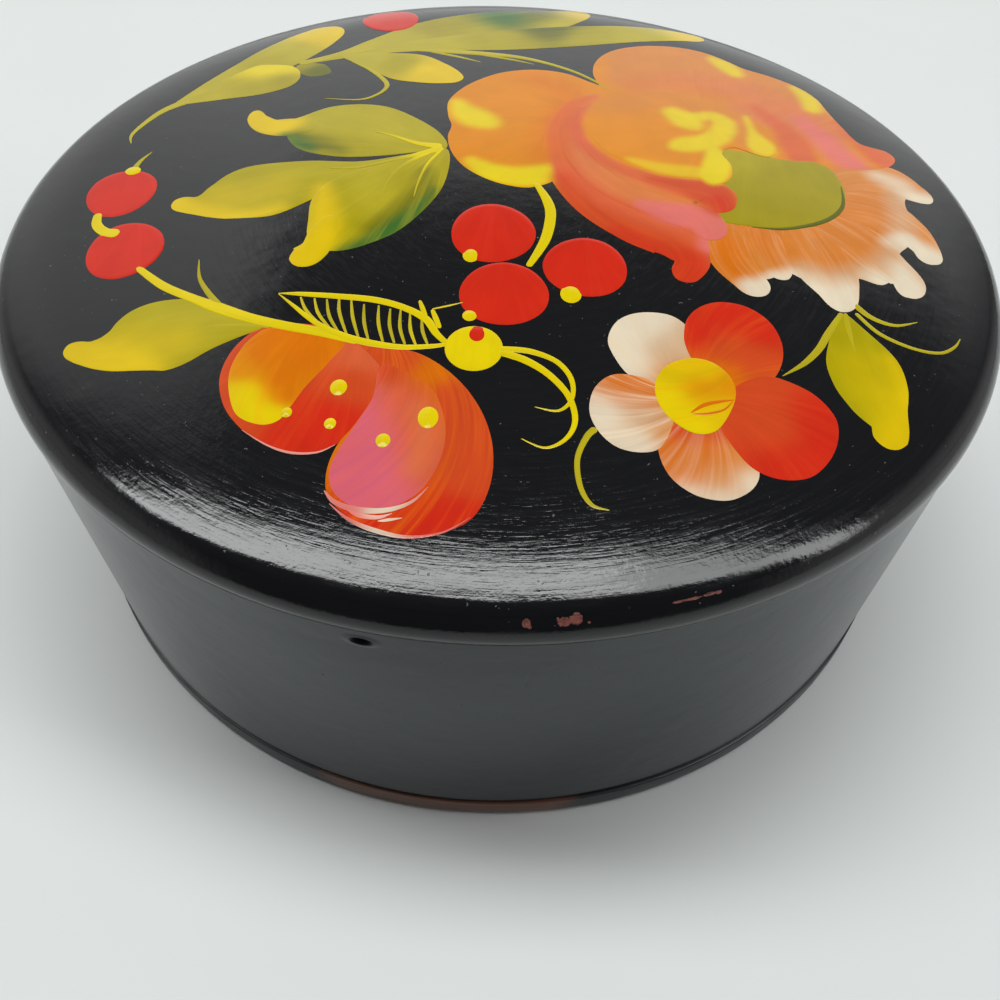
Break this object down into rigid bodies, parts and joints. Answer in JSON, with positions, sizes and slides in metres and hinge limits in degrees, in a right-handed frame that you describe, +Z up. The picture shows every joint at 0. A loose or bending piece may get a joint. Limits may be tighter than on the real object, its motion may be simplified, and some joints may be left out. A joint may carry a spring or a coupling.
{
  "type": "round lacquer box",
  "caption": "Round black lacquered box with slightly flared wall and a shallow domed lift-off lid painted with flowers, berries and a butterfly.",
  "frame": {"origin": "centre of the base's underside, on the table", "axes": "+Z up along the turning axis, out through the lid; +X to the right and -Y to the front of the painted picture on the lid"},
  "size_m": [0.15, 0.15, 0.0594],
  "materials": {
    "base_lacquer": "black lacquer on pressed papier-mache, worn to the red-brown ground at the edge",
    "wall_lacquer": "polished black lacquer outside, red lacquer inside, on wound papier-mache",
    "rim_lacquer": "polished black lacquer with a few chips down to the red-brown ground",
    "lid_lacquer": "polished black lacquer painted with oil colours under clear varnish, red lacquer beneath",
    "ring_lacquer": "satin lacquer, rubbed where it slides in the mouth"
  },
  "bodies": {
    "box": {"base_disc": "base_lacquer", "body_wall": "wall_lacquer"},
    "lid": {"lid_rim": "rim_lacquer", "lid_panel": "lid_lacquer", "lid_ring": "ring_lacquer"}
  },
  "joints": [
    {"name": "lid_lift", "type": "slide", "parent": "box", "child": "lid", "axis": [0, 0, 1], "range_m": [0, 0.06]}
  ]
}
